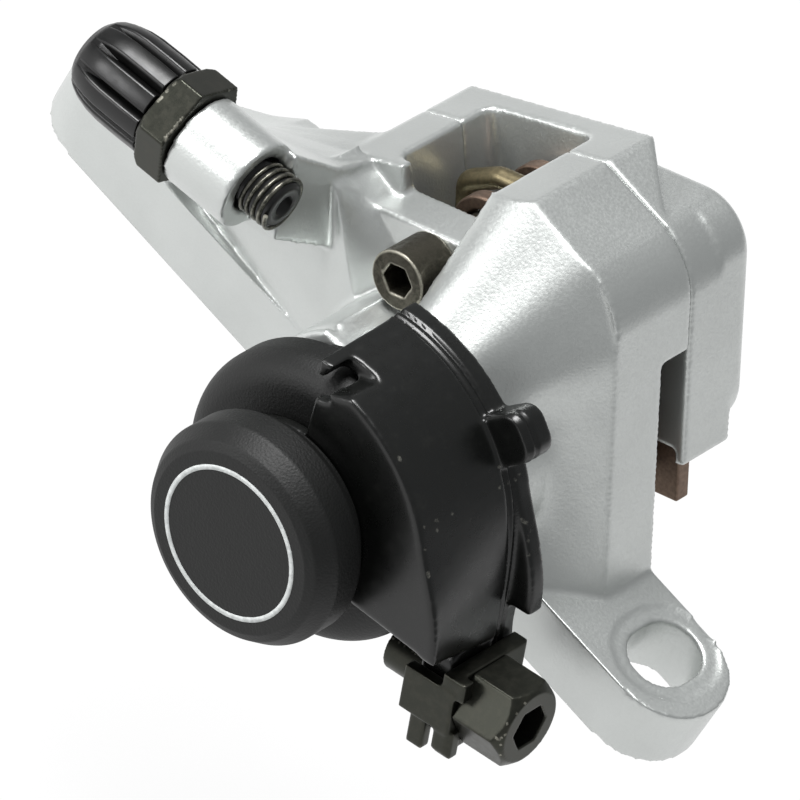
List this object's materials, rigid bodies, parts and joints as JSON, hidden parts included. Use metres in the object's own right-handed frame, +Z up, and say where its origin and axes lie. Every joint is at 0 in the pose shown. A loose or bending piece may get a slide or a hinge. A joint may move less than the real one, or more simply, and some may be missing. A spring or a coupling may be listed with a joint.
{
  "type": "bicycle disc brake caliper",
  "caption": "Cable pulled disc brake caliper for a bicycle with slotted post mount ears, a sprung arm over a ball ramp, sliding pads, a cable clamp and a fluted barrel adjuster.",
  "frame": {"origin": "on the mounting face, midway between the two slots", "axes": "+X along the wheel axle away from the wheel, +Y from slot to slot towards the axle, +Z up the mounting bolts"},
  "size_m": [0.0555, 0.0884, 0.0402],
  "materials": {
    "silver_paint": "satin metallic silver paint on forged aluminium",
    "black_paint": "black paint on pressed steel",
    "grained_plastic": "fine grained black nylon",
    "knob_plastic": "glossy black moulding",
    "black_oxide": "black oxide steel, worn at the edges",
    "dark_steel": "dull zinc plated steel",
    "bare_steel": "turned steel",
    "spring_steel": "spring steel",
    "bronze": "dull bronze",
    "pad_steel": "steel with a dull copper wash",
    "lining": "pressed friction compound",
    "rubber": "square section ring"
  },
  "bodies": {
    "caliper": {"outboard_body": "silver_paint", "inboard_body": "silver_paint", "pad_axle": "dark_steel", "axle_clip": "spring_steel", "body_screws": "dark_steel", "spindle_bush": "bronze", "thrust_washer": "spring_steel", "piston_ring": "rubber", "adjuster_ring": "rubber", "pad_spring": "bronze", "return_spring": "spring_steel"},
    "arm": {"actuating_arm": "black_paint", "drive_spindle": "bare_steel", "ramp_balls": "bare_steel", "dust_cover": "grained_plastic", "hub_cap": "grained_plastic", "arm_screw": "black_oxide", "arm_washer": "bare_steel"},
    "piston": {"piston": "bare_steel"},
    "outboard_pad": {"outboard_pad_plate": "pad_steel", "outboard_pad_lining": "lining"},
    "inboard_pad": {"inboard_pad_plate": "pad_steel", "inboard_pad_lining": "lining"},
    "adjuster": {"pad_adjuster": "bare_steel"},
    "cable_plate": {"clamp_plate": "black_oxide"},
    "cable_bolt": {"clamp_bolt": "black_oxide"},
    "barrel": {"barrel_adjuster": "knob_plastic"},
    "nut": {"lock_nut": "black_oxide"}
  },
  "joints": [
    {"name": "arm_turn", "type": "hinge", "parent": "caliper", "child": "arm", "pos_m": [0, 0.00765, 0.0113], "axis": [1, 0, 0], "range_deg": [0, 36], "stiffness_Nm_per_rad": 0.35, "springref_deg": -34.38},
    {"name": "piston_slide", "type": "slide", "parent": "caliper", "child": "piston", "axis": [-1, 0, 0], "range_m": [0, 0.0016]},
    {"name": "outboard_pad_slide", "type": "slide", "parent": "caliper", "child": "outboard_pad", "axis": [-1, 0, 0], "range_m": [0, 0.0016]},
    {"name": "inboard_pad_slide", "type": "slide", "parent": "caliper", "child": "inboard_pad", "axis": [1, 0, 0], "range_m": [0, 0.0005]},
    {"name": "pad_adjuster_turn", "type": "hinge", "parent": "inboard_pad", "child": "adjuster", "pos_m": [0, 0.00765, 0.0113], "axis": [1, 0, 0], "range_deg": [0, 180]},
    {"name": "cable_plate_slide", "type": "slide", "parent": "arm", "child": "cable_plate", "axis": [0, 0.9397, 0.342], "range_m": [0, 0.0016]},
    {"name": "clamp_bolt_turn", "type": "hinge", "parent": "cable_plate", "child": "cable_bolt", "pos_m": [0.0187, 0.01247, -0.00195], "axis": [0, 0.9397, 0.342], "range_deg": [0, 720]},
    {"name": "barrel_slide", "type": "slide", "parent": "caliper", "child": "barrel", "axis": [0, -0.9813, -0.1925], "range_m": [0, 0.005]},
    {"name": "lock_nut_turn", "type": "hinge", "parent": "caliper", "child": "nut", "pos_m": [0.0153, -0.02578, 0.02329], "axis": [0, -0.9813, -0.1925], "range_deg": [0, 360]}
  ],
  "couplings": [
    {"joint": "piston_slide", "follows": "arm_turn", "m_per_rad": 0.002546},
    {"joint": "outboard_pad_slide", "follows": "arm_turn", "m_per_rad": 0.002546},
    {"joint": "pad_adjuster_turn", "follows": "inboard_pad_slide", "rad_per_m": 6283},
    {"joint": "cable_plate_slide", "follows": "clamp_bolt_turn", "m_per_rad": 0.0001273}
  ]
}
